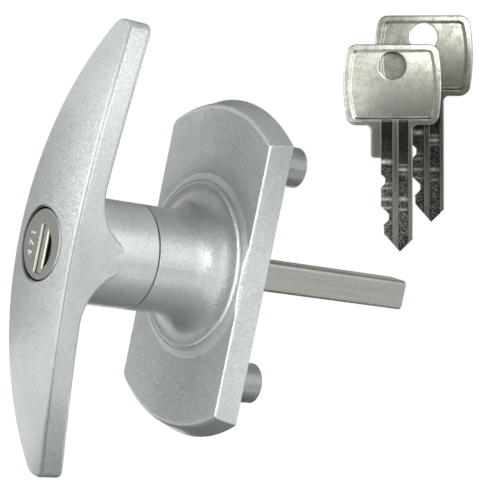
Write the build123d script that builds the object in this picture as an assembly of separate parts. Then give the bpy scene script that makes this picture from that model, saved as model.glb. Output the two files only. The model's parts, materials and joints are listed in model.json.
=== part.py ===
from build123d import *
import os
from math import asin, cos, degrees, radians, sin, sqrt

# A locking T handle for a garage door, in millimetres.
# +Z is up, +X to the right and +Y into the door, for someone who stands outside the door.
# The origin is on the spindle's axis, in the plane of the door's face, where the escutcheon seats.

# Escutcheon: a drafted round disc with two flats, a trumpet shaped hub and two fixing posts
plate_radius = 43.65
plate_half_width = 25.4
plate_thickness = 5.15
end_draft = 2.1
flat_draft = 2.6
plate_wall = 2.3
end_rounding = 1.6
long_edge_rounding = 0.4
hub_radius = 13.5
hub_length = 24.05
hub_flare_rim = 21.0
hub_rim_height = 0.45
hub_rim_slope = 0.6
hub_rim_rounding = 0.3
hub_ring_radius = 22.2
hub_ring_foot = 23.9
hub_ring_height = 0.6
boss_radius = 14.0
boss_back = 3.6
core_depth = 8.0
core_step = 1.0
core_rib_count = 8
core_rib_thickness = 1.6
core_rib_set_back = 0.2
post_spacing = 58.0
post_radius = 5.33
post_length = 19.9
post_hole_radius = 2.1
post_hole_depth = 20.9
post_root_radius = 7.2
post_root_height = 1.6

# Handle: a bowed bar on a round stem, with a shank that turns in the hub
bar_half_length = 58.3
bar_half_width = 13.9
bar_shoulder_height = 30.0
bar_shoulder_half_width = 11.8
bar_tip_half_width = 3.6
bar_corner_radius = 3.0
bar_front = 50.9
bar_crown_radius = 60.0
bar_bow_radius = 152.0
bar_back = 43.0
bar_back_bow_radius = 161.0
bar_draft = 0.03
bar_back_run = 6.0
bar_front_rounding = 0.9
bar_back_rounding = 1.4
web_start = 17.0
web_end = 4.4
web_end_back = 35.8
web_tip_back = 34.6
stem_gap = 0.3
joint_rounding = 0.25
shank_radius = 9.0
shank_end = 1.2
shank_flat = 8.0
shank_chamfer = 0.5
face_bore_radius = 9.3
face_bore_chamfer = 0.2

# Spindle: a square bar pinned in the shank, on through the door
spindle_side = 8.0
spindle_corner = 1.2
spindle_end = 62.0
spindle_end_chamfer = 0.8
socket_depth = 10.2
pin_radius = 1.5
pin_inset = 7.5

# Stop plate, spring washer and circlip behind the hub
stop_plate_thickness = 1.2
stop_plate_radius = 12.6
stop_tab_reach = 17.0
stop_tab_half_width = 3.5
stop_lug_thickness = 2.6
stop_lug_root = 6.9
stop_lug_top = 1.8
stop_lug_inner = 14.6
stop_lug_outer = 16.8
handle_travel = 90.0
washer_thickness = 0.5
washer_outer_radius = 12.2
washer_dish = 0.4
circlip_thickness = 1.2
circlip_groove_radius = 8.5
circlip_width = 2.1
circlip_gap = 5.0
circlip_ear_radius = 1.9
circlip_ear_inset = 1.1
circlip_ear_hole = 0.8

# Lock barrel
face_plane = 50.2
head_radius = 8.95
head_thickness = 4.2
head_chamfer = 0.3
barrel_radius = 7.0
barrel_back = 24.0
tail_radius = 4.0
key_opening_height = 12.2
key_opening_depth = 3.0
key_opening_drop = 1.2
key_opening_lip = 0.45
keyway_width = 2.1
keyway_height = 7.2
keyway_offset = -0.1
keyway_back = 25.5
ward_depth = 0.5
recess_radius = 5.2
recess_shift = 0.1
recess_drop = 1.0
recess_depth = 1.2

# Dust shutter in the mouth of the keyway
shutter_thickness = 0.6
shutter_width = 1.7
shutter_set_back = 0.25
shutter_pin_radius = 0.3
shutter_pin_x = 1.45
shutter_knuckle_radius = 0.5
shutter_pocket = 0.6
shutter_pin_seat = 0.9

# Wafers, from the key's shoulder inwards, and their springs
cut_depths = (0.9, 0.0, 0.0, 1.75, 0.65)
first_cut = 5.05
cut_pitch = 2.65
wafer_thickness = 1.1
wafer_half_width = 3.6
wafer_travel = 0.9
wafer_window_play = 0.3
wafer_ear_width = 1.5
wafer_ear_z = -0.6
wafer_spring_radius = 0.55
wafer_spring_foot = -4.9
spring_wall = 0.25

# Sprung plate that holds the barrel in the handle
retainer_plane = 28.2
retainer_thickness = 1.3
retainer_half_width = 3.0
retainer_reach = 7.75
retainer_root = 3.4
retainer_groove_radius = 7.95
retainer_spring_radius = 0.8
retainer_spring_length = 2.0

# Locking bolt, driven across the shank by an eccentric pin on the barrel's tail
bolt_front = 14.0
bolt_thickness = 3.9
bolt_half_width = 4.5
bolt_foot = 4.95
bolt_pocket_radius = 12.4
eccentric = 2.2
eccentric_pin_radius = 1.25
eccentric_pin_end = 10.4
eccentric_start = 45.0
bolt_slot_play = 0.15

# Keys: width, then lengths down from the top of the head
key_thickness = 2.0
key_head_top_width = 19.8
key_head_width = 21.6
key_head_height = 17.8
key_head_corner = 2.4
key_belly_drop = 9.8
key_border = 1.2
key_field_slope = 0.5
key_field_depth = 0.25
key_ring_radius = 3.1
key_ring_drop = 4.7
key_blade_width = 6.93
key_blade_offset = 0.95
key_neck_step = 2.25
key_neck_length = 7.2
key_blade_length = 20.7
key_tip_taper = 2.7
key_tip_offset = 0.7
key_tip_side = 1.3
key_edge_rounding = 0.25
key_neck_fillet = 1.2
key_shoulder_rounding = 0.8
key_groove_start = 0.31
key_groove_width = 2.2
key_groove_depth = 0.55
key_groove_run = 1.1
key_land_width = 2.45
key_rib_width = 1.0
key_cut_flat = 1.2

# The pair of keys stands beside the lock, one before the other
key_pose = (79.6, -18.1, 63.85)
key_turn = 55.4
key_lean = -4.9
key_roll = 11.7
rear_key_shift = (7.1, 6.6)
key_stack_gap = 0.3

# Clearances
running_fit = 0.06
slide_fit = 0.1
seat_fit = 0.03
stop_play = 0.25

# How far cutters run past what they cut, and joined shapes into each other
lap = 1.0

# How near an edge or corner lies to the place where it is looked for
near_enough = 0.01

# Worked out from the sizes above
hub_front = -hub_length
shoulder = hub_front - stem_gap
ring_front = -plate_thickness - hub_ring_height
rim_front = ring_front - hub_rim_height
flare_radius = hub_flare_rim - hub_radius
flat_slope = flat_draft / plate_thickness
floor_y = -(plate_thickness - plate_wall)
face_y = -face_plane
head_back = face_y + head_thickness
barrel_end = -barrel_back
bolt_y = -bolt_front
bolt_travel = 2 * eccentric * sin(radians(eccentric_start))
bolt_nose_radius = shank_radius - slide_fit
channel_front = bolt_y - slide_fit
channel_back = bolt_y + bolt_thickness + slide_fit
boss_y = -boss_back
stop_plate_y = boss_y + slide_fit
washer_y = stop_plate_y + stop_plate_thickness
circlip_y = washer_y + washer_thickness + washer_dish
keyway_low = keyway_offset - keyway_width / 2
keyway_high = keyway_offset + keyway_width / 2
opening_right = shutter_pin_x + shutter_pocket
opening_back = face_y + key_opening_depth
shutter_pin_length = key_opening_height + 2 * shutter_pin_seat
last_cut = len(cut_depths) - 1


def rod(radius, start, end, x=0.0, z=0.0):
    """A round bar along Y."""
    return Pos(x, start, z) * Rot(-90, 0, 0) * Cylinder(
        radius, end - start, align=(Align.CENTER, Align.CENTER, Align.MIN)
    )


def block(x_range, y_range, z_range):
    """A box from its limits on each axis."""
    size = [high - low for low, high in (x_range, y_range, z_range)]
    corner = Pos(x_range[0], y_range[0], z_range[0])
    return corner * Box(*size, align=(Align.MIN, Align.MIN, Align.MIN))


def front_view(y):
    """The plane of a front view at y, drawn in x and z and extruded towards -Y."""
    return Plane(origin=(0, y, 0), x_dir=(1, 0, 0), z_dir=(0, -1, 0))


def turned_band(*corners):
    """A solid turned about the Y axis from a polygon in x and y."""
    return revolve(make_face(Polyline(*corners, close=True)), Axis.Y)


def escutcheon():
    """The cast plate with its hub, posts, hollow back, stop lugs and two bolt pockets."""
    with BuildSketch(Plane.XY) as disc:
        with BuildLine():
            Polyline(
                (0, 0),
                (plate_radius, 0),
                (plate_radius - end_draft, -plate_thickness),
                (0, -plate_thickness),
                close=True,
            )
        make_face()
        corner = disc.vertices().sort_by(Axis.X)[-2]
        fillet(corner, end_rounding)
    with BuildSketch(Plane.XY) as hub:
        with BuildLine():
            rim = (hub_flare_rim, rim_front)
            flare_start = (hub_radius, rim_front - flare_radius)
            Polyline(
                (0, floor_y),
                (hub_ring_foot, floor_y),
                (hub_ring_foot, -plate_thickness),
                (hub_ring_radius, ring_front),
                (hub_flare_rim + hub_rim_slope, ring_front),
                rim,
            )
            RadiusArc(rim, flare_start, -flare_radius)
            Polyline(flare_start, (hub_radius, hub_front), (0, hub_front), (0, floor_y))
        make_face()
        fillet(hub.vertices().group_by(Axis.Y)[0].sort_by(Axis.X)[-1], joint_rounding)
        crest = [v for v in hub.vertices() if abs(v.Y - rim_front) < near_enough]
        fillet(crest, hub_rim_rounding)
    body = revolve(disc.sketch, Axis.Y) + revolve(hub.sketch, Axis.Y)
    for side in (1, -1):
        body -= flat_cutter(side)
    body = fillet(body.edges().filter_by(on_long_edge), long_edge_rounding)
    body -= hollow_back()
    for side in (1, -1):
        z = side * post_spacing / 2
        body += rod(post_radius, floor_y - lap, post_length, z=z)
        body += rod(post_root_radius, floor_y - lap, floor_y + post_root_height, z=z)
        body -= rod(post_hole_radius, post_length - post_hole_depth, post_length, z=z)
    for tab_angle, side in ((180, -1), (180 + handle_travel, 1)):
        body += stop_lug(tab_angle, side)
    body -= rod(shank_radius + running_fit, hub_front, 0)
    for angle in (0, handle_travel):
        body -= bolt_pocket(angle)
    return body


def on_long_edge(edge):
    """Whether an edge runs along the front of a flat, over the low ring as well."""
    point = edge.position_at(0.5)
    flat = plate_half_width + flat_slope * point.Y
    in_front = rim_front < point.Y < near_enough - plate_thickness
    return in_front and abs(abs(point.X) - flat) < near_enough


def flat_cutter(side):
    """What a flat takes off one side of the round disc, drafted like the flat."""
    far = plate_radius + lap
    reach = lap - rim_front
    outline = Polyline(
        (side * plate_half_width, 0),
        (side * (plate_half_width - flat_slope * reach), -reach),
        (side * far, -reach),
        (side * far, 0),
        close=True,
    )
    bar = extrude(make_face(outline), 2 * far)
    return Pos(0, 0, -far) * bar


def hollow_back():
    """The cored back: a shallow tray out to the rim, and a deeper ring behind the flare."""
    tray_radius = plate_radius - plate_wall
    tray_half_width = plate_half_width - plate_wall
    tray_slope = end_draft / plate_thickness
    tray_corner = (tray_radius + tray_slope * floor_y, floor_y)
    tray = turned_band((0, 0), (tray_radius, 0), tray_corner, (0, floor_y))
    slab = extrude(
        make_face(
            Polyline(
                (-tray_half_width, 0),
                (tray_half_width, 0),
                (tray_half_width + flat_slope * floor_y, floor_y),
                (-tray_half_width - flat_slope * floor_y, floor_y),
                close=True,
            )
        ),
        2 * plate_radius,
    )
    tray = tray & (Pos(0, 0, -plate_radius) * slab)
    outer = hub_flare_rim - plate_wall
    with BuildSketch(Plane.XY) as core:
        with BuildLine():
            deep = (boss_radius, -core_depth)
            step = (outer, floor_y - core_step)
            Polyline(step, (outer, floor_y), (boss_radius, floor_y), deep)
            RadiusArc(deep, step, flare_radius)
        make_face()
    ring = revolve(core.sketch, Axis.Y)
    rib = block(
        (-core_rib_thickness / 2, core_rib_thickness / 2),
        (-core_depth, boss_y - core_rib_set_back),
        (0, outer),
    )
    for number in range(core_rib_count):
        ring -= Rot(0, (number + 0.5) * 360 / core_rib_count, 0) * rib
    well = rod(boss_radius, boss_y, floor_y + lap)
    return tray + ring + well


def stop_lug(tab_angle, side):
    """A lug whose face lies square to the stop tab at one end of its travel."""
    near = stop_tab_half_width + stop_play
    x_range = sorted((side * near, side * (near + stop_lug_thickness)))
    lug = block(x_range, (-stop_lug_root, -stop_lug_top), (stop_lug_inner, stop_lug_outer))
    return Rot(0, tab_angle, 0) * lug


def bolt_pocket(angle):
    """The slot in the hub's bore that takes the locking bolt, open to the back."""
    slot = block(
        (-bolt_half_width - slide_fit, bolt_half_width + slide_fit),
        (channel_front - slide_fit, boss_y),
        (0, bolt_pocket_radius),
    )
    return Rot(0, angle, 0) * (slot & rod(bolt_pocket_radius, hub_front, 0))


def handle():
    """The cast bar, stem and shank in one piece, bored for the lock and the spindle."""
    body = handle_bar()
    body += rod(hub_radius, -bar_back - lap, shoulder)
    rim = body.edges().filter_by(GeomType.CIRCLE).group_by(Axis.Y)[-1]
    body = fillet(rim, joint_rounding)
    body += shank()
    body -= rod(face_bore_radius, -bar_front - lap, head_back + slide_fit)
    mouth = body.edges().filter_by(on_bore_mouth)
    body = chamfer(mouth, face_bore_chamfer)
    body -= rod(barrel_radius + running_fit, head_back, barrel_end + slide_fit)
    body -= rod(tail_radius + running_fit, barrel_end, channel_front)
    half_groove = retainer_thickness / 2 + slide_fit
    body -= rod(retainer_groove_radius, -retainer_plane - half_groove, -retainer_plane + half_groove)
    body -= wafer_grooves()
    body -= block(
        (-bolt_half_width - slide_fit, bolt_half_width + slide_fit),
        (channel_front, channel_back),
        (-bolt_foot - slide_fit, shank_radius + lap),
    )
    half_socket = spindle_side / 2 + seat_fit
    body -= block(
        (-half_socket, half_socket),
        (shank_end - socket_depth, shank_end),
        (-half_socket, half_socket),
    )
    body -= cross_hole()
    return body


def on_bore_mouth(edge):
    """Whether an edge runs round the lock's bore in the front of the bar."""
    point = edge.position_at(0)
    radius = sqrt(point.X**2 + point.Z**2)
    return abs(radius - face_bore_radius) < near_enough and point.Y < head_back


def handle_bar():
    """The bowed bar: a drafted lens outline, a bowed side view and a crowned front."""
    front = -bar_front - lap
    back = -web_tip_back + bar_back_run
    outlines = [bar_outline(front, 0), bar_outline(back, (back - front) * bar_draft)]
    outline = loft(outlines, ruled=True)
    half_side = bar_half_width + lap
    side = Pos(-half_side, 0, 0) * extrude(bar_side_view(), 2 * half_side)
    body = outline & side & bar_crown()
    body = fillet(body.faces().sort_by(Axis.Y)[0].edges(), bar_front_rounding)
    bowed = body.faces().filter_by(GeomType.CYLINDER)
    backs = [face for face in bowed if abs(face.center().Z) > web_start]
    limit = web_start + near_enough
    back_edges = [edge for face in backs for edge in face.edges() if abs(edge.center().Z) > limit]
    return fillet(back_edges, bar_back_rounding)


def bar_outline(y, inset):
    """The bar's lens shaped outline in front view, pulled in by the draft."""
    tip = bar_half_length - inset
    half = bar_tip_half_width - inset
    middle = bar_half_width - inset
    shoulder_half = bar_shoulder_half_width - inset
    low, high = -bar_shoulder_height, bar_shoulder_height
    with BuildSketch(front_view(y)) as sketch:
        with BuildLine():
            for side in (1, -1):
                Spline(
                    (side * half, -side * tip),
                    (side * shoulder_half, side * low),
                    (side * middle, 0),
                    (side * shoulder_half, side * high),
                    (side * half, side * tip),
                )
                Line((side * half, side * tip), (-side * half, side * tip))
        make_face()
        fillet(sketch.vertices(), bar_corner_radius)
    return sketch.sketch


def bar_side_view():
    """The bar in side view: its bowed back and the web that runs down into the stem."""
    top = bar_half_length + lap
    front = -bar_front - lap

    def back_at(z):
        drop = bar_back_bow_radius - sqrt(bar_back_bow_radius**2 - z**2)
        return -bar_back + drop

    lean = -web_start / bar_back_bow_radius
    with BuildSketch(Plane(origin=(0, 0, 0), x_dir=(0, 1, 0), z_dir=(1, 0, 0))) as sketch:
        with BuildLine():
            Polyline((back_at(top), -top), (front, -top), (front, top), (back_at(top), top))
            middle_z = (top + web_start) / 2
            web_top = (back_at(web_start), web_start)
            ThreePointArc((back_at(top), top), (back_at(middle_z), middle_z), web_top)
            TangentArc(web_top, (-web_end_back, web_end), tangent=(lean, -1))
            ThreePointArc((-web_end_back, web_end), (-web_tip_back, 0), (-web_end_back, -web_end))
            web_low = (back_at(web_start), -web_start)
            TangentArc(web_low, (-web_end_back, -web_end), tangent=(lean, 1))
            ThreePointArc(web_low, (back_at(middle_z), -middle_z), (back_at(top), -top))
        make_face()
    return sketch.sketch


def bar_crown():
    """A barrel shaped solid whose outside is the bar's crowned and bowed front."""
    half = bar_half_width + lap
    drop = bar_crown_radius - sqrt(bar_crown_radius**2 - half**2)
    base = -web_tip_back + lap
    with BuildSketch(Plane.XY) as section:
        with BuildLine():
            edge = -bar_front + drop
            Polyline((-half, edge), (-half, base), (half, base), (half, edge))
            ThreePointArc((half, edge), (0, -bar_front), (-half, edge))
        make_face()
    centre = -bar_front + bar_bow_radius
    sweep = 2 * degrees(asin((bar_half_length + lap) / (centre - base)))
    axis = Axis((0, centre, 0), (1, 0, 0))
    start = section.sketch.rotate(axis, -sweep / 2)
    return revolve(start, axis, revolution_arc=sweep)


def shank():
    """The stem's journal, with its flats, circlip groove and chamfered end."""
    body = rod(shank_radius, shoulder - lap, shank_end)
    body = chamfer(body.edges().sort_by(Axis.Y)[-1], shank_chamfer)
    for side in (1, -1):
        x_range = sorted((side * shank_flat, side * (shank_radius + lap)))
        body -= block(x_range, (boss_y, shank_end + lap), (-shank_radius, shank_radius))
    groove = rod(shank_radius + lap, circlip_y, circlip_y + circlip_thickness + slide_fit)
    groove -= rod(circlip_groove_radius, circlip_y - lap, circlip_y + circlip_thickness + lap)
    return body - groove


def wafer_grooves():
    """The cross of grooves in the bore that the wafers spring into, at every quarter turn."""
    reach = barrel_radius + wafer_travel + 2 * slide_fit
    half = wafer_half_width + slide_fit
    y_range = (cut_plane(0) - wafer_thickness, cut_plane(last_cut) + wafer_thickness)
    upright = block((-half, half), y_range, (-reach, reach))
    level = block((-reach, reach), y_range, (-half, half))
    return upright + level


def cut_plane(number):
    """Where the middle of a wafer lies along Y."""
    return opening_back + first_cut + number * cut_pitch


def cross_hole():
    """The hole for the pin that holds the spindle in the shank."""
    return Pos(0, shank_end - pin_inset, 0) * Rot(0, 90, 0) * Cylinder(
        pin_radius + seat_fit, 2 * (shank_radius + lap)
    )


def spindle():
    """The square bar, with eased corners and a chamfered end."""
    start = shank_end - socket_depth + slide_fit
    with BuildSketch(front_view(start)) as section:
        RectangleRounded(spindle_side, spindle_side, spindle_corner)
    bar = extrude(section.sketch, -(spindle_end - start))
    bar = chamfer(bar.faces().sort_by(Axis.Y)[-1].edges(), spindle_end_chamfer)
    return bar - cross_hole()


def spindle_pin():
    """The pin through the shank and the spindle."""
    length = 2 * (shank_radius - 2 * slide_fit)
    return Pos(0, shank_end - pin_inset, 0) * Rot(0, 90, 0) * Cylinder(pin_radius, length)


def stop_plate():
    """The washer that turns with the shank, whose tab meets the two stop lugs."""
    back = stop_plate_y + stop_plate_thickness
    plate = rod(stop_plate_radius, stop_plate_y, back)
    tab = block((-stop_tab_half_width, stop_tab_half_width), (stop_plate_y, back), (0, stop_tab_reach))
    plate += Rot(0, 180, 0) * tab
    return plate - shank_outline(stop_plate_y, back, slide_fit)


def shank_outline(start, end, play):
    """The shank's round section with its two flats, with play all round."""
    half = shank_flat + play
    length = shank_radius + play
    return rod(length, start, end) & block((-half, half), (start, end), (-length, length))


def spring_washer():
    """A dished washer that takes up the end play."""
    inner = shank_radius + slide_fit
    back = circlip_y - seat_fit
    front = washer_y + seat_fit
    return turned_band(
        (inner, back - washer_thickness),
        (inner, back),
        (washer_outer_radius, front + washer_thickness),
        (washer_outer_radius, front),
    )


def circlip():
    """An external circlip with two drilled ears, sprung into the shank's groove."""
    start = circlip_y + seat_fit
    end = start + circlip_thickness
    inner = circlip_groove_radius + seat_fit
    ring = rod(inner + circlip_width, start, end)
    ear_z = inner + circlip_ear_radius
    ear_x = circlip_gap / 2 + circlip_ear_inset
    for x in (ear_x, -ear_x):
        ring += rod(circlip_ear_radius, start, end, x=x, z=ear_z)
    ring -= rod(inner, start, end)
    ring -= block((-circlip_gap / 2, circlip_gap / 2), (start, end), (0, ear_z + circlip_ear_radius))
    for x in (ear_x, -ear_x):
        ring -= rod(circlip_ear_hole, start, end, x=x, z=ear_z + circlip_ear_hole / 2)
    return ring


def barrel():
    """The lock barrel: head, wafer slots, keyway, tail and eccentric pin."""
    head = rod(head_radius, face_y, head_back)
    head = chamfer(head.edges().sort_by(Axis.Y)[0], head_chamfer)
    body = head + rod(barrel_radius, head_back, barrel_end)
    body += rod(tail_radius, barrel_end, channel_front - slide_fit * 2)
    offset = -eccentric * cos(radians(eccentric_start))
    body += rod(eccentric_pin_radius, barrel_end, -eccentric_pin_end, x=offset, z=offset)
    body -= block((keyway_low, opening_right), (face_y, opening_back), opening_heights(0))
    body = chamfer(body.edges().filter_by(on_opening_lip), key_opening_lip)
    body -= block((keyway_low, keyway_high), (face_y, -keyway_back), (-keyway_height / 2, keyway_height / 2))
    body += keyway_wards()
    recess = rod(recess_radius, face_y, face_y + recess_depth, x=recess_shift, z=-recess_drop)
    right = block(
        (opening_right - lap, recess_radius + lap),
        (face_y, opening_back),
        (-head_radius, head_radius),
    )
    body -= recess & right
    body -= on_shutter_axis(shutter_pin_radius + seat_fit, shutter_pin_length + 2 * slide_fit)
    for number in range(len(cut_depths)):
        body -= wafer_slot(number)
    body -= retainer_slot()
    return body


def on_opening_lip(edge):
    """Whether an edge is the front one of the key opening, on the side away from the shutter's pin."""
    point = edge.position_at(0.5)
    return abs(point.X - keyway_low) < near_enough and abs(point.Y - face_y) < near_enough


def keyway_wards():
    """Two ribs along the keyway that fit the grooves in the blade."""
    x_range = (keyway_high - ward_depth, keyway_high)
    y_range = (opening_back, -keyway_back)
    groove_low = key_groove_start + slide_fit
    groove_high = key_groove_start + key_groove_width - slide_fit
    upper = block(x_range, y_range, (groove_low, groove_high))
    land_top = -key_blade_width / 2 + key_land_width - slide_fit
    lower = block(x_range, y_range, (-keyway_height / 2, land_top))
    return upper + lower


def opening_heights(play):
    """The bottom and top of the key opening in the barrel's face, less some play."""
    half = key_opening_height / 2 - play
    return (-key_opening_drop - half, -key_opening_drop + half)


def on_shutter_axis(radius, length):
    """An upright round bar on the axis that the dust shutter turns on."""
    y = face_y + shutter_set_back + shutter_knuckle_radius
    return Pos(shutter_pin_x, y, -key_opening_drop) * Cylinder(radius, length)


def wafer_slot(number):
    """A slot across the barrel, with a ledge left at one side for the wafer's spring."""
    middle = cut_plane(number)
    half = wafer_thickness / 2 + slide_fit / 2
    y_range = (middle - half, middle + half)
    width = wafer_half_width + slide_fit / 2
    inner = wafer_half_width - wafer_ear_width
    slot = block((-width, inner), y_range, (-barrel_radius - lap, barrel_radius + lap))
    slot += block((inner, width), y_range, (wafer_spring_foot, barrel_radius + lap))
    return slot


def wafer(number):
    """A brass wafer with its window and the ear that its spring lifts."""
    middle = cut_plane(number)
    y_range = (middle - wafer_thickness / 2, middle + wafer_thickness / 2)
    low = -key_blade_width / 2 + cut_depths[number]
    high = key_blade_width / 2 + wafer_window_play
    blank = rod(barrel_radius - seat_fit, *y_range)
    blank &= block((-wafer_half_width, wafer_half_width), y_range, (-barrel_radius, barrel_radius))
    blank -= block((keyway_low - slide_fit, keyway_high + slide_fit), y_range, (low, high))
    inner = wafer_half_width - wafer_ear_width
    blank -= block((inner, wafer_half_width), y_range, (-barrel_radius, wafer_ear_z))
    return blank


def wafer_springs():
    """The springs under the wafers' ears, drawn as plain sleeves."""
    x = wafer_half_width - wafer_ear_width / 2
    length = wafer_ear_z - wafer_spring_foot
    sleeve = Cylinder(wafer_spring_radius, length)
    sleeve -= Cylinder(wafer_spring_radius - spring_wall, length)
    z = (wafer_ear_z + wafer_spring_foot) / 2
    return Compound([Pos(x, cut_plane(number), z) * sleeve for number in range(len(cut_depths))])


def retainer_slot():
    """The side slot for the sprung plate that holds the barrel in."""
    half = retainer_thickness / 2 + slide_fit / 2
    width = retainer_half_width + slide_fit / 2
    y_range = (-retainer_plane - half, -retainer_plane + half)
    slot = block((retainer_root - slide_fit, barrel_radius + lap), y_range, (-width, width))
    bore_length = retainer_spring_length + slide_fit
    return slot + retainer_spring_shape(retainer_spring_radius + seat_fit, bore_length)


def retainer_spring_shape(radius, length):
    """A round bar along X that ends at the retainer's root."""
    return Pos(retainer_root - length, -retainer_plane, 0) * Rot(0, 90, 0) * Cylinder(
        radius, length, align=(Align.CENTER, Align.CENTER, Align.MIN)
    )


def barrel_retainer():
    """The sprung plate that stands out into the groove round the bore."""
    half = retainer_thickness / 2
    y_range = (-retainer_plane - half, -retainer_plane + half)
    z_range = (-retainer_half_width, retainer_half_width)
    plate = block((retainer_root, retainer_reach), y_range, z_range)
    return plate & rod(retainer_reach, *y_range)


def retainer_spring():
    """The spring behind the retaining plate, drawn as a plain sleeve."""
    outer = retainer_spring_shape(retainer_spring_radius, retainer_spring_length)
    inner = retainer_spring_shape(retainer_spring_radius - spring_wall, retainer_spring_length)
    return outer - inner


def dust_shutter():
    """The flap that closes the mouth of the keyway and folds in as the key enters."""
    play = slide_fit * 2
    length = key_opening_height - 2 * play
    front = face_y + shutter_set_back
    flap = block(
        (shutter_pin_x - shutter_width, shutter_pin_x),
        (front, front + shutter_thickness),
        opening_heights(play),
    )
    flap += on_shutter_axis(shutter_knuckle_radius, length)
    return flap - on_shutter_axis(shutter_pin_radius + seat_fit, length)


def shutter_pin():
    """The pin that the shutter turns on."""
    return on_shutter_axis(shutter_pin_radius, shutter_pin_length)


def locking_bolt():
    """The bolt across the shank, with the cross slot that the eccentric pin works in."""
    y_range = (bolt_y, bolt_y + bolt_thickness)
    body = rod(bolt_nose_radius, *y_range)
    body &= block((-bolt_half_width, bolt_half_width), y_range, (-bolt_foot, bolt_nose_radius))
    play = eccentric_pin_radius + bolt_slot_play
    near = -eccentric * cos(radians(eccentric_start))
    slot = block((-eccentric, near), y_range, (near - play, near + play))
    slot += rod(play, *y_range, x=-eccentric, z=near)
    slot += rod(play, *y_range, x=near, z=near)
    return body - slot


def key():
    """A key drawn upright in x and z, its head's top edge at the origin, its front towards -Y."""
    head_bottom = -key_head_height
    neck_bottom = head_bottom - key_neck_length
    tip = neck_bottom - key_blade_length
    blade_left = key_blade_offset - key_blade_width / 2
    blade_right = key_blade_offset + key_blade_width / 2
    neck_left = blade_left - key_neck_step
    front = -key_thickness / 2
    taper_top = tip + key_tip_taper
    last_z = cut_height(last_cut, neck_bottom)
    last_x = blade_left + cut_depths[last_cut]
    with BuildSketch(front_view(-front)) as outline:
        with BuildLine():
            key_head_line(0)
        make_face()
        fillet(outline.vertices(), key_head_corner)
        with BuildLine():
            Polyline(
                (neck_left, head_bottom + lap),
                (neck_left, neck_bottom),
                (blade_left, neck_bottom),
                (blade_left, last_z),
                (last_x, last_z),
                (last_x, taper_top + key_tip_side),
                (key_blade_offset + key_tip_offset, tip),
                (blade_right, taper_top),
                (blade_right, head_bottom + lap),
                close=True,
            )
        make_face()
        under_head = [v for v in outline.vertices() if abs(v.Y - head_bottom) < near_enough]
        neck = [v for v in under_head if neck_left - lap < v.X < blade_right + lap]
        fillet(neck, key_neck_fillet)
        shoulder_corner = outline.vertices().sort_by_distance((neck_left, neck_bottom))[0]
        fillet(shoulder_corner, key_shoulder_rounding)
    body = extrude(outline.sketch, key_thickness)
    body = fillet(body.faces().filter_by(Axis.Y).edges(), key_edge_rounding)
    floor = key_field(front + key_field_depth, key_border + key_field_slope)
    mouth = key_field(front - key_field_depth, key_border - key_field_slope)
    pocket = loft([floor, mouth], ruled=True)
    body -= pocket + mirror(pocket, Plane.XZ)
    body -= rod(key_ring_radius, front, -front, z=-key_ring_drop)
    y_range = (front, front + key_groove_depth)
    z_range = (tip, head_bottom + key_groove_run)
    groove_x = key_blade_offset + key_groove_start
    body -= block((groove_x, groove_x + key_groove_width), y_range, z_range)
    body -= block((blade_left, blade_left + key_land_width), y_range, z_range)
    body -= block((groove_x - key_rib_width, groove_x), (-front - key_groove_depth, -front), z_range)
    for number, depth in enumerate(cut_depths):
        if depth > 0:
            body -= key_cut(number, depth, blade_left, neck_bottom)
    return body


def key_field(y, inset):
    """The sunk field's outline at one height of its sloping wall."""
    with BuildSketch(front_view(y)) as field:
        with BuildLine():
            key_head_line(inset)
        make_face()
        fillet(field.vertices(), key_head_corner - inset)
    return field.sketch


def key_head_line(inset):
    """The head's rounded outline, a little wider at half height, drawn inset from its edge."""
    half_top = key_head_top_width / 2 - inset
    half = key_head_width / 2 - inset
    top = -inset
    bottom = -key_head_height + inset
    Line((-half_top, top), (half_top, top))
    ThreePointArc((half_top, top), (half, -key_belly_drop), (half_top, bottom))
    Line((half_top, bottom), (-half_top, bottom))
    ThreePointArc((-half_top, bottom), (-half, -key_belly_drop), (-half_top, top))


def cut_height(number, neck_bottom):
    """How high the middle of a cut lies on the key."""
    return neck_bottom - first_cut - number * cut_pitch


def key_cut(number, depth, blade_left, neck_bottom):
    """A cut in the blade's edge, with sloping flanks."""
    z = cut_height(number, neck_bottom)
    half = key_cut_flat / 2
    notch = Polyline(
        (blade_left - lap, z + half + depth + lap),
        (blade_left + depth, z + half),
        (blade_left + depth, z - half),
        (blade_left - lap, z - half - depth - lap),
        close=True,
    )
    return extrude(make_face(front_view(0) * notch), key_thickness, both=True)


def standing_key(shift_right, shift_up, shift_back):
    """A key beside the lock, turned to face whoever looks at the lock from its right."""
    pose = Pos(*key_pose) * Rot(0, 0, key_turn) * Rot(key_lean, 0, 0) * Rot(0, -key_roll, 0)
    return pose * Pos(shift_right, shift_back, shift_up) * key()


os.makedirs("parts", exist_ok=True)
pieces = {
    "escutcheon": escutcheon(),
    "handle": handle(),
    "spindle": spindle(),
    "spindle_pin": spindle_pin(),
    "stop_plate": stop_plate(),
    "spring_washer": spring_washer(),
    "circlip": circlip(),
    "barrel": barrel(),
    "wafer_springs": wafer_springs(),
    "barrel_retainer": barrel_retainer(),
    "retainer_spring": retainer_spring(),
    "dust_shutter": dust_shutter(),
    "shutter_pin": shutter_pin(),
    "locking_bolt": locking_bolt(),
    "key_front": standing_key(0, 0, 0),
    "key_rear": standing_key(rear_key_shift[0], rear_key_shift[1], key_thickness + key_stack_gap),
}
for number in range(len(cut_depths)):
    pieces[f"wafer_{number + 1}"] = wafer(number)
for name, piece in pieces.items():
    export_step(piece, f"parts/{name}.step")
    print(name, "volume", round(piece.volume, 1))
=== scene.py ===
import json
import math
import bpy
from mathutils import Matrix, Vector


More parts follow.
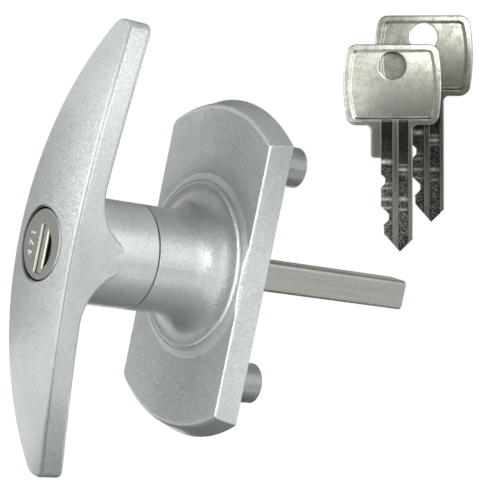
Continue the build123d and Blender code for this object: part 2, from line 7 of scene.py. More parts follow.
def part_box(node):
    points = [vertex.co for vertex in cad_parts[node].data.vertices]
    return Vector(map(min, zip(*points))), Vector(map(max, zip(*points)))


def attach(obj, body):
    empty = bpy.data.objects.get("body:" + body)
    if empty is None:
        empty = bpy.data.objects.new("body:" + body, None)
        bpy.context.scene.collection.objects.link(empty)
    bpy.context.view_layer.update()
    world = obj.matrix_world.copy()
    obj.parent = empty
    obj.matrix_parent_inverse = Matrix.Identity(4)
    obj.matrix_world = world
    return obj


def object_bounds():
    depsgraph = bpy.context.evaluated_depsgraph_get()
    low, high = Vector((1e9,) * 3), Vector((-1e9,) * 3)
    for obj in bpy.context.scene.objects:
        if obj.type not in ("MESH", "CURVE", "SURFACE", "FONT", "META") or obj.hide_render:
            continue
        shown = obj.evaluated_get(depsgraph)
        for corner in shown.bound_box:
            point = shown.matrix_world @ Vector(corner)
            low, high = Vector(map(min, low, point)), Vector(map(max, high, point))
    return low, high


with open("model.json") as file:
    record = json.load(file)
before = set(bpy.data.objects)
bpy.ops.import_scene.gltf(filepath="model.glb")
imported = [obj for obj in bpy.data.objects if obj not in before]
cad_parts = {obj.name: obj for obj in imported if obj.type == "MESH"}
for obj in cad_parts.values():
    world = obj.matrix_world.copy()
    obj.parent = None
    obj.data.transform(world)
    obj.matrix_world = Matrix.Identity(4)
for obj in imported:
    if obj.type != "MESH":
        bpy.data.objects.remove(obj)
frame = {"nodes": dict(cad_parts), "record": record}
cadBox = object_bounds()
mm = 0.001
scene = bpy.context.scene
nodes = frame["nodes"]


# Directions are a turn round the lock, from straight in front towards its right,
# and a rise above level, both in degrees

def outward(turn, rise):
    turn, rise = math.radians(turn), math.radians(rise)
    level = math.cos(rise)
    return Vector((math.sin(turn) * level, -math.cos(turn) * level, math.sin(rise)))


# Camera

cameraLook = {
    "turn": 55.37,
    "rise": 4.91,
    "roll": 11.66,  # the picture leans by this much
    "distance": 566 * mm,
    "slideRight": 7.525 * mm,  # how far the picture's centre is off the spindle's axis
    "slideUp": 4.483 * mm,
    "focal": 158.18,  # on the default 36 mm sensor
}


def makeCamera():
    look = cameraLook
    turn, roll = math.radians(look["turn"]), math.radians(look["roll"])
    back = outward(look["turn"], look["rise"])
    level = Vector((math.cos(turn), math.sin(turn), 0))
    upright = back.cross(level)
    right = level * math.cos(roll) + upright * math.sin(roll)
    up = back.cross(right)
    data = bpy.data.cameras.new("camera")
    data.lens = look["focal"]
    camera = bpy.data.objects.new("camera", data)
    scene.collection.objects.link(camera)
    camera.matrix_world = Matrix((right, up, back)).transposed().to_4x4()
    camera.location = back * look["distance"] + right * look["slideRight"] + up * look["slideUp"]
    scene.camera = camera


makeCamera()
print("camera placed")


# Node helpers

def addNode(tree, kind, inputs=None, **settings):
    node = tree.nodes.new(kind)
    for name, value in settings.items():
        setattr(node, name, value)
    for name, value in (inputs or {}).items():
        if isinstance(value, bpy.types.NodeSocket):
            tree.links.new(value, node.inputs[name])
        else:
            node.inputs[name].default_value = value
    return node


def startMaterial(name, **constants):
    material = bpy.data.materials.new(name)
    material.use_nodes = True
    tree = material.node_tree
    shader = tree.nodes["Principled BSDF"]
    for socket, value in constants.items():
        shader.inputs[socket.replace("_", " ")].default_value = value
    return material, tree, shader


def objectPlace(tree):
    return addNode(tree, "ShaderNodeTexCoord").outputs["Object"]


def split(tree, vector):
    return addNode(tree, "ShaderNodeSeparateXYZ", {0: vector}).outputs


def mathNode(tree, operation, first, second=0.5):
    return addNode(tree, "ShaderNodeMath", {0: first, 1: second}, operation=operation).outputs[0]


def times(tree, first, second):
    return mathNode(tree, "MULTIPLY", first, second)


def larger(tree, first, second):
    return mathNode(tree, "MAXIMUM", first, second)


def vectorNode(tree, operation, inputs, output=0):
    return addNode(tree, "ShaderNodeVectorMath", inputs, operation=operation).outputs[output]


def noise(tree, place, size, detail=2.0, stretch=(1, 1, 1)):
    # size is the width of one blot in metres, and detail the number of finer layers over it
    scaled = vectorNode(tree, "MULTIPLY", {0: place, 1: stretch})
    inputs = {"Vector": scaled, "Scale": 1 / size, "Detail": detail}
    return addNode(tree, "ShaderNodeTexNoise", inputs).outputs[0]


def ramp(tree, factor, *stops):
    # stops are (position, grey or colour)
    node = addNode(tree, "ShaderNodeValToRGB", {0: factor})
    elements = node.color_ramp.elements
    while len(elements) < len(stops):
        elements.new(0.5)
    for element, (position, colour) in zip(elements, stops):
        element.position = position
        element.color = (*colour, 1) if isinstance(colour, tuple) else (colour, colour, colour, 1)
    return node.outputs[0]


noiseRange = (0.3, 0.7)  # what noise mostly keeps between


def overNoise(tree, value, first, last):
    # first where the noise is lowest, last where it is highest
    low, high = noiseRange
    return ramp(tree, value, (low, first), (high, last))


def span(tree, value, low, high):
    # 0 at low, 1 at high
    inputs = {"Value": value, "From Min": low, "From Max": high}
    return addNode(tree, "ShaderNodeMapRange", inputs).outputs[0]


def mixColour(tree, factor, first, second, kind="MIX"):
    node = addNode(tree, "ShaderNodeMix", data_type="RGBA", blend_type=kind)
    for name, value in (("Factor", factor), ("A", first), ("B", second)):
        socket = [s for s in node.inputs if s.name == name and s.enabled][0]
        if isinstance(value, bpy.types.NodeSocket):
            tree.links.new(value, socket)
        else:
            socket.default_value = (*value, 1) if isinstance(value, tuple) else value
    return [s for s in node.outputs if s.enabled][0]


def darken(tree, colour, by):
    return mixColour(tree, 1.0, colour, by, "MULTIPLY")


# How finely the shader looks round corners, and how sharp an edge is before it counts as one
cornerLook = {
    "samples": 6,
    "sharp": 0.80,  # how well the rounded and the plain normal agree
    "smooth": 0.985,
}


def openness(tree, distance):
    # 1 in the open, less in corners and narrow gaps
    inputs = {"Distance": distance}
    node = addNode(tree, "ShaderNodeAmbientOcclusion", inputs, samples=cornerLook["samples"])
    return node.outputs["AO"]


def softEdges(tree, radius):
    # the rounded edge's normal, and a mask that is 1 along sharp edges
    look = cornerLook
    inputs = {"Radius": radius}
    rounded = addNode(tree, "ShaderNodeBevel", inputs, samples=look["samples"]).outputs[0]
    plain = addNode(tree, "ShaderNodeNewGeometry").outputs["Normal"]
    match = vectorNode(tree, "DOT_PRODUCT", {0: rounded, 1: plain}, "Value")
    return rounded, ramp(tree, match, (look["sharp"], 1.0), (look["smooth"], 0.0))


def bump(tree, height, distance, normal):
    inputs = {"Height": height, "Distance": distance, "Strength": 1.0, "Normal": normal}
    return addNode(tree, "ShaderNodeBump", inputs).outputs[0]


# Silver paint on the two castings. Places are measured on the object: across is x, depth is y
# (into the door), height is z, and radius is taken round the spindle's axis

silverPaint = {
    "dark": (0.51, 0.545, 0.54),
    "light": (0.71, 0.76, 0.75),
    "toneFrom": 0.15,
    "toneFull": 0.85,
    "sparkleShare": 0.55,  # of the tone, the rest is cloud
    "cloudShare": 0.45,
    "cloudSize": 14 * mm,
    "metallic": 0.35,
    "coat": 0.5,
    "coatRough": 0.14,
    "smoothest": 0.36,
    "roughest": 0.46,
    "roughSize": 3 * mm,
    "flakeSize": 0.22 * mm,
    "flakeTilt": 0.20,
    "peelSize": 1.6 * mm,
    "peelHeight": 0.012 * mm,
    "edgeRadius": 0.45 * mm,
    "cornerReach": 1.2 * mm,
    "cornerShade": ((0.2, 0.5), (0.7, 1.0)),  # openness, and how much colour is left there
}

paintWearAndLight = {
    # edge wear and the painted highlight lines share this colour
    "wornAndHighlight": (0.92, 0.95, 0.94),
    "wornOpen": ((0.6, 0.0), (0.9, 0.8)),  # openness, and how much an edge is worn there
    # painted highlight lines: how far out, half their width, and between which depths
    "plateEdge": (22.7 * mm, 0.35 * mm, -5.6 * mm, -4.7 * mm),
    "hubCrest": (20.85 * mm, 0.40 * mm, -6.8 * mm, -5.9 * mm),
    "crestAcross": (6 * mm, 15 * mm),  # the crest shines on its right side only
    "linePatchSize": 2.5 * mm,
    "linePatches": ((0.3, 0.65), (0.6, 1.0)),
    "polish": 0.15,  # how much less rough a painted highlight line is
    # the dark line along the side of the bar's long ridge
    "ridgeShade": (0.30, 0.315, 0.31),
    "ridgeBy": 0.8,
    "ridgeDepth": (-28 * mm, -30 * mm),
    "ridgeStart": (0.74, 0.82),  # how far the surface has turned sideways
    "ridgeEnd": (0.96, 0.91),
    "ridgeFront": (-0.15, -0.25),
}

paintShades = {
    # painted shadow in the gap round the lock's face, on its left side
    "shadowColour": (0.09, 0.088, 0.078),
    "rimShadow": (9.5 * mm, 0.3 * mm, -60 * mm, -40 * mm),  # round the lock's face
    "shadowAcross": (3 * mm, -3 * mm),
    "backShade": (0.54, 0.54, 0.53),  # painted shade on the posts, behind the plate
    "backDepth": (0.2 * mm, 0.8 * mm),
    "hubShade": (0.60, 0.60, 0.59),  # painted shade on top of the hub, and in the hollow of its flare
    "hubFront": (-24.2 * mm, -24.0 * mm),
    "hubBack": (-4.6 * mm, -4.9 * mm),
    "shadeHeight": (2 * mm, 13 * mm),
    "shadeRadius": (29 * mm, 21 * mm),
    "hollowIn": (15.0 * mm, 19.0 * mm),
    "hollowOut": (20.6 * mm, 20.4 * mm),
    "hollowShade": 0.6,
    "ringShade": (22.7 * mm, 1.1 * mm, -6.2 * mm, -5.3 * mm),  # painted shade on the low ring round the flare
    "ringAcross": (16 * mm, 10 * mm),
    "ringBy": 0.45,
}

bandFade = {
    "wide": 1.3,  # a line fades out between these shares of its half width
    "narrow": 0.7,
    "depth": 0.1 * mm,
}


def band(tree, value, depth, middle, half, nearest, farthest):
    # 1 within half of the middle and between the two depths
    fade = bandFade
    away = mathNode(tree, "ABSOLUTE", mathNode(tree, "SUBTRACT", value, middle))
    near = span(tree, away, half * fade["wide"], half * fade["narrow"])
    behind = span(tree, depth, nearest - fade["depth"], nearest)
    before = span(tree, depth, farthest + fade["depth"], farthest)
    return times(tree, near, times(tree, behind, before))


# painted highlights: bright lines along the plate's edge and the hub's crest
def paintedHighlightLines(tree, place, across, depth, radius):
    look = paintWearAndLight
    plateEdge = band(tree, mathNode(tree, "ABSOLUTE", across), depth, *look["plateEdge"])
    hubCrest = band(tree, radius, depth, *look["hubCrest"])
    hubCrest = times(tree, hubCrest, span(tree, across, *look["crestAcross"]))
    linePatches = ramp(tree, noise(tree, place, look["linePatchSize"], 3), *look["linePatches"])
    return times(tree, larger(tree, plateEdge, hubCrest), linePatches)


def ridgeMask(tree, depth):
    look = paintWearAndLight
    outside = split(tree, addNode(tree, "ShaderNodeTexCoord").outputs["Normal"])
    sideways = mathNode(tree, "ABSOLUTE", outside["X"])
    start = span(tree, sideways, *look["ridgeStart"])
    rolledOver = times(tree, start, span(tree, sideways, *look["ridgeEnd"]))
    front = span(tree, outside["Y"], *look["ridgeFront"])
    inFront = times(tree, front, span(tree, depth, *look["ridgeDepth"]))
    return times(tree, times(tree, rolledOver, inFront), look["ridgeBy"])


# painted shade on top of the hub, in its flare's hollow and on the ring round it
def hubShadeMask(tree, across, depth, height, radius):
    look = paintShades
    onHub = times(tree, span(tree, depth, *look["hubFront"]), span(tree, depth, *look["hubBack"]))
    hollow = span(tree, radius, *look["hollowIn"])
    hollow = times(tree, hollow, span(tree, radius, *look["hollowOut"]))
    onTop = span(tree, height, *look["shadeHeight"])
    onTop = times(tree, onTop, span(tree, radius, *look["shadeRadius"]))
    hubShading = times(tree, onHub, larger(tree, onTop, times(tree, hollow, look["hollowShade"])))
    onRing = band(tree, radius, depth, *look["ringShade"])
    onRing = times(tree, onRing, span(tree, across, *look["ringAcross"]))
    return larger(tree, hubShading, times(tree, onRing, look["ringBy"]))


def makeSilverPaint():
    look, wearAndLight, shadeLook = silverPaint, paintWearAndLight, paintShades
    material, tree, shader = startMaterial(
        "silverPaint", Coat_Weight=look["coat"], Coat_Roughness=look["coatRough"],
    )
    place = objectPlace(tree)
    across, depth, height = split(tree, place)
    flat = addNode(tree, "ShaderNodeCombineXYZ", {"X": across, "Z": height}).outputs[0]
    radius = vectorNode(tree, "LENGTH", {0: flat}, "Value")
    highlightLines = paintedHighlightLines(tree, place, across, depth, radius)
    # painted shadow round the lock's face, on its left side
    rim = band(tree, radius, depth, *shadeLook["rimShadow"])
    rim = times(tree, rim, span(tree, across, *shadeLook["shadowAcross"]))

    # paint with flakes in it
    inputs = {"Vector": place, "Scale": 1 / look["flakeSize"]}
    flakes = addNode(tree, "ShaderNodeTexVoronoi", inputs)
    sparkle = split(tree, flakes.outputs["Color"])[0]
    sparkle = times(tree, sparkle, look["sparkleShare"])
    cloud = times(tree, noise(tree, place, look["cloudSize"], 3), look["cloudShare"])
    tone = mathNode(tree, "ADD", sparkle, cloud)
    paint = ramp(tree, tone, (look["toneFrom"], look["dark"]), (look["toneFull"], look["light"]))

    # painted shade in the corners, on the hub and on the posts, then wear on the edges and painted
    # highlight lines
    rounded, edges = softEdges(tree, look["edgeRadius"])
    bare = openness(tree, look["cornerReach"])
    rubbed = times(tree, edges, ramp(tree, bare, *wearAndLight["wornOpen"]))
    paintInShade = darken(tree, paint, ramp(tree, bare, *look["cornerShade"]))
    hubShading = hubShadeMask(tree, across, depth, height, radius)
    paintInShade = mixColour(tree, hubShading, paintInShade, darken(tree, paintInShade, shadeLook["hubShade"]))
    # painted shade on the posts behind the plate
    behind = span(tree, depth, *shadeLook["backDepth"])
    shadeTone = mixColour(tree, behind, (1.0, 1.0, 1.0), shadeLook["backShade"])
    shadedPaint = darken(tree, paintInShade, shadeTone)
    bright = mixColour(tree, larger(tree, rubbed, highlightLines), shadedPaint, wearAndLight["wornAndHighlight"])
    bright = mixColour(tree, ridgeMask(tree, depth), bright, wearAndLight["ridgeShade"])
    tree.links.new(mixColour(tree, rim, bright, shadeLook["shadowColour"]), shader.inputs["Base Color"])

    # the painted highlight lines are bare metal
    metallic = ramp(tree, highlightLines, (0.0, look["metallic"]), (1.0, 1.0))
    tree.links.new(metallic, shader.inputs["Metallic"])
    rough = noise(tree, place, look["roughSize"], 3)
    rough = overNoise(tree, rough, look["smoothest"], look["roughest"])
    rough = mathNode(tree, "SUBTRACT", rough, times(tree, highlightLines, wearAndLight["polish"]))
    tree.links.new(rough, shader.inputs["Roughness"])

    # each flake leans its own way
    peel = bump(tree, noise(tree, place, look["peelSize"], 2), look["peelHeight"], rounded)
    centred = vectorNode(tree, "SUBTRACT", {0: flakes.outputs["Color"], 1: (0.5, 0.5, 0.5)})
    tilt = vectorNode(tree, "SCALE", {0: centred, "Scale": look["flakeTilt"]})
    tilted = vectorNode(tree, "ADD", {0: tilt, 1: peel})
    tree.links.new(vectorNode(tree, "NORMALIZE", {0: tilted}), shader.inputs["Normal"])
    tree.links.new(peel, shader.inputs["Coat Normal"])
    return material


# Bare and plated metals

metals = {
    # grain is the width of one blot, drawn out by stretch
    "satinNickel": {
        "dark": (0.36, 0.365, 0.335), "light": (0.56, 0.57, 0.53),
        "rough": (0.34, 0.46), "grain": 0.35 * mm, "stretch": (1, 1, 1),
    },
    # painted highlight: near white digits stand in for stamped edges catching light
    "highlitDigitNickel": {
        "dark": (0.84, 0.84, 0.79), "light": (0.95, 0.95, 0.90),
        "rough": (0.42, 0.55), "grain": 0.2 * mm, "stretch": (1, 1, 1),
    },
    "spindleSteel": {
        "dark": (0.29, 0.29, 0.265), "light": (0.44, 0.44, 0.41),
        "rough": (0.38, 0.52), "grain": 0.3 * mm, "stretch": (4, 0.25, 4),
    },
    "zincPlate": {
        "dark": (0.50, 0.50, 0.48), "light": (0.64, 0.65, 0.64),
        "rough": (0.30, 0.42), "grain": 0.4 * mm, "stretch": (1, 1, 1),
    },
    "springSteel": {
        "dark": (0.16, 0.16, 0.17), "light": (0.28, 0.28, 0.29),
        "rough": (0.30, 0.45), "grain": 0.4 * mm, "stretch": (1, 1, 1),
    },
    "shutterSteel": {
        "dark": (0.60, 0.59, 0.50), "light": (0.78, 0.77, 0.66),
        "rough": (0.28, 0.40), "grain": 0.3 * mm, "stretch": (3, 3, 0.3),
    },
    "pressedBrass": {
        "dark": (0.58, 0.43, 0.18), "light": (0.78, 0.61, 0.30),
        "rough": (0.26, 0.40), "grain": 0.4 * mm, "stretch": (1, 1, 1),
    },
}

metalWear = {
    "fineShare": 0.5,  # of the tone, the rest is cloud
    "cloudShare": 0.5,
    "cloudSize": 6 * mm,
    "grainDepth": 0.006 * mm,
    "edgeRadius": 0.2 * mm,
    "edgeShine": (0.85, 0.85, 0.80),
    "edgeOpen": ((0.6, 0.0), (0.9, 0.7)),  # openness, and how bright an edge is there
    "cornerReach": 1.6 * mm,
    "cornerShade": ((0.35, 0.25), (0.85, 1.0)),
}


def makeMetal(name):
    look, wearAndLight = metals[name], metalWear
    material, tree, shader = startMaterial(name, Metallic=1.0)
    place = objectPlace(tree)
    rounded, edges = softEdges(tree, wearAndLight["edgeRadius"])
    fine = noise(tree, place, look["grain"], 4, look["stretch"])
    broad = noise(tree, place, wearAndLight["cloudSize"], 3, look["stretch"])
    cloud = times(tree, broad, wearAndLight["cloudShare"])
    tone = mathNode(tree, "ADD", times(tree, fine, wearAndLight["fineShare"]), cloud)
    metal = overNoise(tree, tone, look["dark"], look["light"])
    hollow = openness(tree, wearAndLight["cornerReach"])
    shaded = darken(tree, metal, ramp(tree, hollow, *wearAndLight["cornerShade"]))
    rubbed = times(tree, edges, ramp(tree, hollow, *wearAndLight["edgeOpen"]))
    tree.links.new(mixColour(tree, rubbed, shaded, wearAndLight["edgeShine"]), shader.inputs["Base Color"])
    smoothest, roughest = look["rough"]
    tree.links.new(overNoise(tree, tone, roughest, smoothest), shader.inputs["Roughness"])
    tree.links.new(bump(tree, fine, wearAndLight["grainDepth"], rounded), shader.inputs["Normal"])
    return material, tree, shader


# The lock's face is bare, with painted shade wherever it goes deeper

lockFace = {
    "deepShadeFrom": 0.3 * mm,  # below the face
    "deepShadeFull": 0.8 * mm,
    "deepShade": (0.055, 0.053, 0.046),
}


def makeLockNickel():
    look = lockFace
    material, tree, shader = makeMetal("satinNickel")
    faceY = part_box("barrel")[0].y
    depth = split(tree, objectPlace(tree))["Y"]
    # painted shade, darker deeper than the face
    deepShading = span(tree, depth, faceY + look["deepShadeFrom"], faceY + look["deepShadeFull"])
    unshaded = shader.inputs["Base Color"].links[0].from_socket
    tree.links.new(mixColour(tree, deepShading, unshaded, look["deepShade"]), shader.inputs["Base Color"])
    return material


# Nickel on the two keys, with painted shade and dark reflection in the grooves, which a few painted
# glints cross.
# On a key, across and height start at the middle of its top edge, and depth at its middle plane

keyPose = {
    "topMiddle": (79.6 * mm, -18.1 * mm, 63.85 * mm),  # of the front key
    "turn": 55.4,
    "lean": -4.9,
    "roll": 11.7,
    "rearShift": (7.1 * mm, 2.3 * mm, 6.6 * mm),
}

keyHead = {
    "dark": (0.34, 0.335, 0.30),
    "light": (0.80, 0.79, 0.71),
    "toneFrom": 0.36,
    "toneFull": 0.60,
    "fineSize": 0.35 * mm,
    "blotchSize": 1.4 * mm,
    "cloudSize": 5 * mm,
    "fineShare": 0.3,
    "blotchShare": 0.35,
    "cloudShare": 0.35,
    "fineDepth": 0.004 * mm,
    "smoothest": 0.16,
    "roughest": 0.26,
    # painted shade: the rear key's copy is darker all over
    "rearShade": (0.58, 0.58, 0.57),
    "headShade": (0.38, 0.385, 0.375),  # painted shade towards the head's right side and its foot
    "headShadeSpan": (-1.0 * mm, 14.0 * mm),
    "headShadeDown": 0.45,
    "crown": 5.0,  # how fast the pressed head's face turns away from its middle, in radians a metre
    "headMiddle": (0, -1 * mm, -8 * mm),
    "outline": (0.06, 0.058, 0.048),  # painted shade along the edges
    "outlineOpen": ((0.5, 0.0), (0.8, 0.95)),  # openness, and how dark an edge is there
    "slopeShade": 0.62,  # how dark it lies on the slope inside the head's border
    "slopeStart": (0.85, 0.88),  # how nearly the surface faces the front
    "slopeEnd": (0.94, 0.91),
    "edgeRadius": 0.3 * mm,
    "cornerReach": 1.0 * mm,
    "cornerShade": ((0.40, 0.22), (0.88, 1.0)),
}

keyBlade = {
    # painted dark reflection: the blade is darker than the head
    "blade": (0.20, 0.20, 0.185),
    "bladeTip": (0.27, 0.27, 0.25),
    "bladeBy": 0.7,
    "tipSpan": (-20.0 * mm, -30.0 * mm),  # the blade is brighter from here down
    "frontFacing": (0.80, 0.95),
    "grooveDepth": (-0.62 * mm, -0.55 * mm),  # towards the key's front
    "grooveTop": (-17.0 * mm, -17.2 * mm),
    # painted shade and dark reflection in the grooves
    "grooveDark": (0.035, 0.032, 0.025),
    "grooveLight": (0.075, 0.070, 0.060),
    "grooveFrom": 0.3,
    "grooveFull": 0.75,
    "tipGroove": (0.34, 0.335, 0.31),
    "fleckSize": 0.55 * mm,
    "fleckStretch": (1, 1, 2.2),
    "flecks": ((0.45, 0.0), (0.65, 1.0)),
    # painted glints across the grooves
    "mark": (0.85, 0.85, 0.78),
    "markMetallic": 0.25,
    "patchSize": 0.8 * mm,
    "patches": ((0.3, 0.6), (0.6, 1.0)),
    "markRange": (-45 * mm, -15 * mm),
    "sides": (0.5 * mm, 0.7 * mm),  # the ribs' place across, between left and right marks
    # how far down each painted glint lies and its half width, both in millimetres, and how bright
    # it is
    "leftMarks": (
        (-25.9, 0.75, 1.0), (-30.6, 0.4, 0.45), (-31.7, 0.4, 0.5),
        (-34.1, 0.5, 0.75), (-36.0, 0.4, 0.5),
    ),
    "rightMarks": (
        (-26.6, 0.4, 0.5), (-27.6, 0.6, 1.0), (-28.6, 0.4, 0.4),
        (-34.1, 0.7, 0.7), (-36.4, 0.4, 0.5),
    ),
}


def markRamp(tree, height, marks):
    # painted glints, bright bands across the groove
    low, high = keyBlade["markRange"]
    stops = []
    for middle, half, strength in sorted(marks):
        for place, value in ((middle - half, 0.0), (middle, strength), (middle + half, 0.0)):
            stops.append(((place * mm - low) / (high - low), value))
    return ramp(tree, span(tree, height, low, high), *stops)


def keyTurn():
    look = keyPose
    return (
        Matrix.Rotation(math.radians(look["turn"]), 4, "Z")
        @ Matrix.Rotation(math.radians(look["lean"]), 4, "X")
        @ Matrix.Rotation(math.radians(-look["roll"]), 4, "Y")
    )


def headColour(tree, tone, across, height):
    look = keyHead
    plate = ramp(tree, tone, (look["toneFrom"], look["dark"]), (look["toneFull"], look["light"]))
    # painted shade, darker towards the head's right side and its foot
    slanted = mathNode(tree, "SUBTRACT", across, times(tree, height, look["headShadeDown"]))
    shade = ramp(
        tree, span(tree, slanted, *look["headShadeSpan"]),
        (0.0, (1.0, 1.0, 1.0)), (1.0, look["headShade"]),
    )
    return darken(tree, plate, shade)


def grooveColour(tree, place, fine, across, height, lower):
    look = keyBlade
    flecks = noise(tree, place, look["fleckSize"], 3, look["fleckStretch"])
    flecked = times(tree, ramp(tree, flecks, *look["flecks"]), lower)
    shadeTone = ramp(
        tree, fine,
        (look["grooveFrom"], look["grooveDark"]), (look["grooveFull"], look["grooveLight"]),
    )
    grooveShade = mixColour(tree, flecked, shadeTone, look["tipGroove"])
    left = markRamp(tree, height, look["leftMarks"])
    right = markRamp(tree, height, look["rightMarks"])
    marks = mixColour(tree, span(tree, across, *look["sides"]), left, right)
    patchy = ramp(tree, noise(tree, place, look["patchSize"], 2), *look["patches"])
    glintMask = times(tree, marks, patchy)
    return mixColour(tree, glintMask, grooveShade, look["mark"]), glintMask


def makeKeyNickel(name, shift, copyShade):
    head, blade = keyHead, keyBlade
    material, tree, shader = startMaterial(name, Metallic=1.0)
    turned = keyTurn()
    topMiddle = Vector(keyPose["topMiddle"]) + turned @ Vector(shift)
    place = objectPlace(tree)
    onKey = addNode(
        tree, "ShaderNodeMapping",
        {"Vector": place, "Location": topMiddle, "Rotation": turned.to_euler("XYZ")},
        vector_type="TEXTURE",
    ).outputs[0]
    across, depth, height = split(tree, onKey)

    # where the grooves are
    outside = addNode(tree, "ShaderNodeNewGeometry").outputs["Normal"]
    towards = vectorNode(tree, "DOT_PRODUCT", {0: outside, 1: turned @ Vector((0, -1, 0))}, "Value")
    onFront = span(tree, towards, *blade["frontFacing"])
    sunk = times(tree, span(tree, depth, *blade["grooveDepth"]), onFront)
    below = span(tree, height, *blade["grooveTop"])
    groove = times(tree, sunk, below)

    # head, blade and grooves
    fine = noise(tree, place, head["fineSize"], 4)
    broad = times(tree, noise(tree, place, head["cloudSize"], 3), head["cloudShare"])
    blotch = times(tree, noise(tree, place, head["blotchSize"], 3), head["blotchShare"])
    tone = mathNode(tree, "ADD", times(tree, fine, head["fineShare"]), broad)
    tone = mathNode(tree, "ADD", tone, blotch)
    lower = span(tree, height, *blade["tipSpan"])
    bladeColour = mixColour(tree, lower, blade["blade"], blade["bladeTip"])
    onBlade = times(tree, below, blade["bladeBy"])
    headAndBlade = mixColour(tree, onBlade, headColour(tree, tone, across, height), bladeColour)
    marked, glintMask = grooveColour(tree, place, fine, across, height, lower)
    bare = mixColour(tree, groove, headAndBlade, marked)
    brightMarks = times(tree, glintMask, groove)
    metallic = ramp(tree, brightMarks, (0.0, 1.0), (1.0, blade["markMetallic"]))
    tree.links.new(metallic, shader.inputs["Metallic"])

    # painted shade in the corners, along the edges and on the slope inside the border
    rounded, edges = softEdges(tree, head["edgeRadius"])
    hollow = openness(tree, head["cornerReach"])
    onEdges = times(tree, edges, ramp(tree, hollow, *head["outlineOpen"]))
    keyShaded = darken(tree, bare, ramp(tree, hollow, *head["cornerShade"]))
    keyShaded = mixColour(tree, onEdges, keyShaded, head["outline"])
    onSlope = span(tree, towards, *head["slopeStart"])
    onSlope = times(tree, onSlope, span(tree, towards, *head["slopeEnd"]))
    onSlope = times(tree, onSlope, head["slopeShade"])
    keyShaded = mixColour(tree, onSlope, keyShaded, head["outline"])
    tree.links.new(darken(tree, keyShaded, copyShade), shader.inputs["Base Color"])
    rough = overNoise(tree, tone, head["roughest"], head["smoothest"])
    tree.links.new(rough, shader.inputs["Roughness"])

    # the pressed head is slightly crowned
    middle = topMiddle + turned @ Vector(head["headMiddle"])
    fromMiddle = vectorNode(tree, "SUBTRACT", {0: place, 1: middle})
    crown = vectorNode(tree, "SCALE", {0: fromMiddle, "Scale": head["crown"]})
    crowned = vectorNode(tree, "ADD", {0: bump(tree, fine, head["fineDepth"], rounded), 1: crown})
    tree.links.new(vectorNode(tree, "NORMALIZE", {0: crowned}), shader.inputs["Normal"])
    return material


finishOfSlot = {  # the keys have a finish each, for their own grooves
    "silver_paint": "silverPaint",
    "spindle_steel": "spindleSteel",
    "plated_steel": "zincPlate",
    "spring_steel": "springSteel",
    "nickelled_zinc": "satinNickel",
    "shutter_steel": "shutterSteel",
    "brass": "pressedBrass",
}


def dressNodes():
    made = {"silverPaint": makeSilverPaint()}
    made.update({name: makeMetal(name)[0] for name in metals if name != "satinNickel"})
    made["satinNickel"] = makeLockNickel()
    made["key_front"] = makeKeyNickel("frontKeyNickel", (0, 0, 0), (1.0, 1.0, 1.0))
    # the rear key's copy is darkened all over by rearShade, a painted shade
    made["key_rear"] = makeKeyNickel("rearKeyNickelShaded", keyPose["rearShift"], keyHead["rearShade"])
    for part in frame["record"]["subparts"]:
        material = made.get(part["node"]) or made[finishOfSlot[part["material_slot"]]]
        for slot in nodes[part["node"]].material_slots:
            slot.material = material
    return made


materials = dressNodes()
print("finishes made:", ", ".join(materials))


# Numbers stamped in the lock's face, one above the other, each lying on its side

faceNumbers = {
    "digits": "174",
    "size": 2.94 * mm,  # of the font, the digits are about 2.1 mm high
    "depth": 0.05 * mm,
    "edge": 0.05 / 3 * mm,
    "bolder": 0.08 * mm,
    "spacing": 2.55 * mm,
    "column": -4.75 * mm,  # across the face, from its centre
    "middle": -0.5 * mm,
}


def makeFaceNumbers():
    look = faceNumbers
    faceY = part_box("barrel")[0].y
    for place, digit in enumerate(look["digits"]):
        curve = bpy.data.curves.new(f"faceNumber{place + 1}", "FONT")
        curve.body = digit
        curve.size = look["size"]
        curve.extrude = look["depth"]
        curve.offset = look["bolder"]
        curve.bevel_depth = look["edge"]
        curve.align_x = "CENTER"
        curve.align_y = "CENTER"
        number = bpy.data.objects.new(f"face_number_{place + 1}", curve)
        scene.collection.objects.link(number)
        # upright on the face, then on its side
        number.rotation_euler = (math.pi / 2, -math.pi / 2, 0)
        down = (place - 1) * look["spacing"]
        number.location = (look["column"], faceY, look["middle"] - down)
        curve.materials.append(materials["highlitDigitNickel"])
        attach(number, "barrel")


makeFaceNumbers()
print("face numbers stamped")


# Floor, world, cards and lamps

studio = {
    "ambient": 0.0,  # the room's own light
    "backdropWhite": 1.0,  # 1 is white
    "aimedAt": (0, -20 * mm, 0),
}

floorLook = {
    "drop": 150 * mm,  # below the lock's lowest point
    "width": 12.0,
    "white": 0.97,
    "paper": (0.84, 0.88),
    "paperGrain": 2 * mm,
    "rough": 0.9,
}

lamps = {
    # turn, rise, metres away, metres wide, watts
    "keyLamp": (75, 22, 1.0, 0.35, 3.1),
    "sideLamp": (90, 22, 0.6, 0.4, 0.62),
    "highSideLamp": (112, 40, 0.5, 0.3, 0.46),
    "frontLamp": (-15, 16, 0.8, 0.50, 2.0),
    "edgeLamp": (122, 14, 0.6, 0.25, 0.16),
    "faceLamp": (10, 6, 1.0, 0.6, 1.5),
}

cards = {
    # what it stands round, turn, rise, metres away, metres wide, grey,
    # and whether it takes soft light too
    "keyCard": ("key_front", 67, 4, 0.80, 0.36, 0.12, False),
    "leftCard": ("escutcheon", -62, -18, 0.70, 0.80, 0.46, True),
    "backCard": ("escutcheon", -110, 32, 0.70, 0.60, 0.20, True),
    "lowRightCard": ("escutcheon", 74, -31, 0.60, 0.50, 0.15, True),
    "rightCard": ("escutcheon", 124, -30, 0.70, 0.70, 0.28, True),
    "highCard": ("escutcheon", 0, 90, 0.60, 1.40, 0.65, True),
    "lowCard": ("escutcheon", 0, -90, 0.19, 0.50, 0.20, True),
}

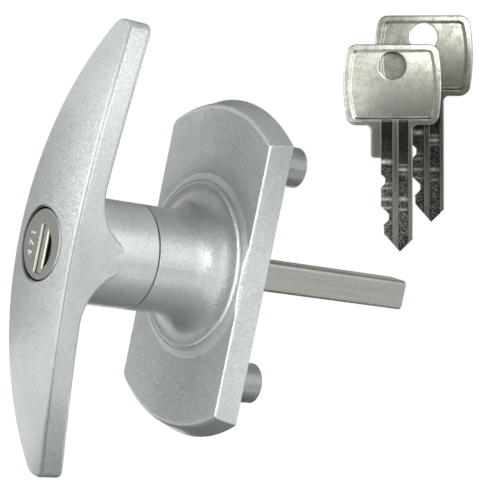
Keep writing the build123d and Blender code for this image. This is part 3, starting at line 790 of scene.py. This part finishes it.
cardCloth = {
    "weave": 3 * mm,
    "darkest": 0.8,  # of the card's grey
    "lightest": 1.2,
}


def facing(thing, middle, turn, rise, distance):
    away = outward(turn, rise)
    thing.location = Vector(middle) + away * distance
    thing.rotation_mode = "QUATERNION"
    thing.rotation_quaternion = away.to_track_quat("Z", "Y")


def seenRays(tree):
    # 1 for what the eye sees straight, in a gloss or through glass
    rays = addNode(tree, "ShaderNodeLightPath").outputs
    seen = larger(tree, rays["Is Camera Ray"], rays["Is Glossy Ray"])
    return larger(tree, seen, rays["Is Transmission Ray"])


def makeWorld():
    world = bpy.data.worlds.new("studioWorld")
    scene.world = world
    world.use_nodes = True
    tree = world.node_tree
    tree.nodes.clear()
    white = (1, 1, 1, 1)
    grounds = []
    for strength in (studio["ambient"], studio["backdropWhite"]):
        inputs = {"Color": white, "Strength": strength}
        grounds.append(addNode(tree, "ShaderNodeBackground", inputs).outputs[0])
    shaders = {0: seenRays(tree), 1: grounds[0], 2: grounds[1]}
    mixed = addNode(tree, "ShaderNodeMixShader", shaders)
    addNode(tree, "ShaderNodeOutputWorld", {"Surface": mixed.outputs[0]})


def stageDisc(name, width, sides=64):
    mesh = bpy.data.meshes.new(name)
    turns = [math.tau * step / sides for step in range(sides)]
    rim = [(math.cos(a) * width / 2, math.sin(a) * width / 2, 0) for a in turns]
    mesh.from_pydata(rim, [], [tuple(range(sides))])
    disc = bpy.data.objects.new(name, mesh)
    scene.collection.objects.link(disc)
    return disc


def makeFloor():
    look = floorLook
    floor = stageDisc("floor", look["width"])
    floor.location.z = cadBox[0].z - look["drop"]
    material, tree, shader = startMaterial("floorPaper", Roughness=look["rough"])
    paper = overNoise(tree, noise(tree, objectPlace(tree), look["paperGrain"], 3), *look["paper"])
    tree.links.new(paper, shader.inputs["Base Color"])
    lift = times(tree, seenRays(tree), look["white"])
    glow = addNode(tree, "ShaderNodeEmission", {"Color": (1, 1, 1, 1), "Strength": lift})
    both = addNode(tree, "ShaderNodeAddShader", {0: shader.outputs[0], 1: glow.outputs[0]})
    tree.links.new(both.outputs[0], tree.nodes["Material Output"].inputs["Surface"])
    floor.data.materials.append(material)


def makeCards():
    # plain cards all round, out of the picture, which the lock's gloss and shade pick up
    look = cardCloth
    for name, (node, turn, rise, distance, width, grey, takesLight) in cards.items():
        card = stageDisc(name, width)
        low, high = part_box(node)
        facing(card, (low + high) / 2, turn, rise, distance)
        material, tree, shader = startMaterial(
            name + "Cloth", Roughness=1.0, Specular_IOR_Level=0.0,
        )
        weave = noise(tree, objectPlace(tree), look["weave"], 3)
        cloth = overNoise(tree, weave, grey * look["darkest"], grey * look["lightest"])
        tree.links.new(cloth, shader.inputs["Base Color"])
        card.data.materials.append(material)
        card.visible_camera = card.visible_shadow = card.visible_transmission = False
        card.visible_diffuse = takesLight


def makeLamps():
    for name, (turn, rise, distance, width, watts) in lamps.items():
        data = bpy.data.lights.new(name, "AREA")
        data.shape = "DISK"
        data.size = width
        data.energy = watts
        lamp = bpy.data.objects.new(name, data)
        scene.collection.objects.link(lamp)
        facing(lamp, studio["aimedAt"], turn, rise, distance)
        lamp.visible_camera = False


makeWorld()
makeFloor()
makeCards()
makeLamps()
scene.view_settings.view_transform = "Standard"
print("floor, world and lamps set")
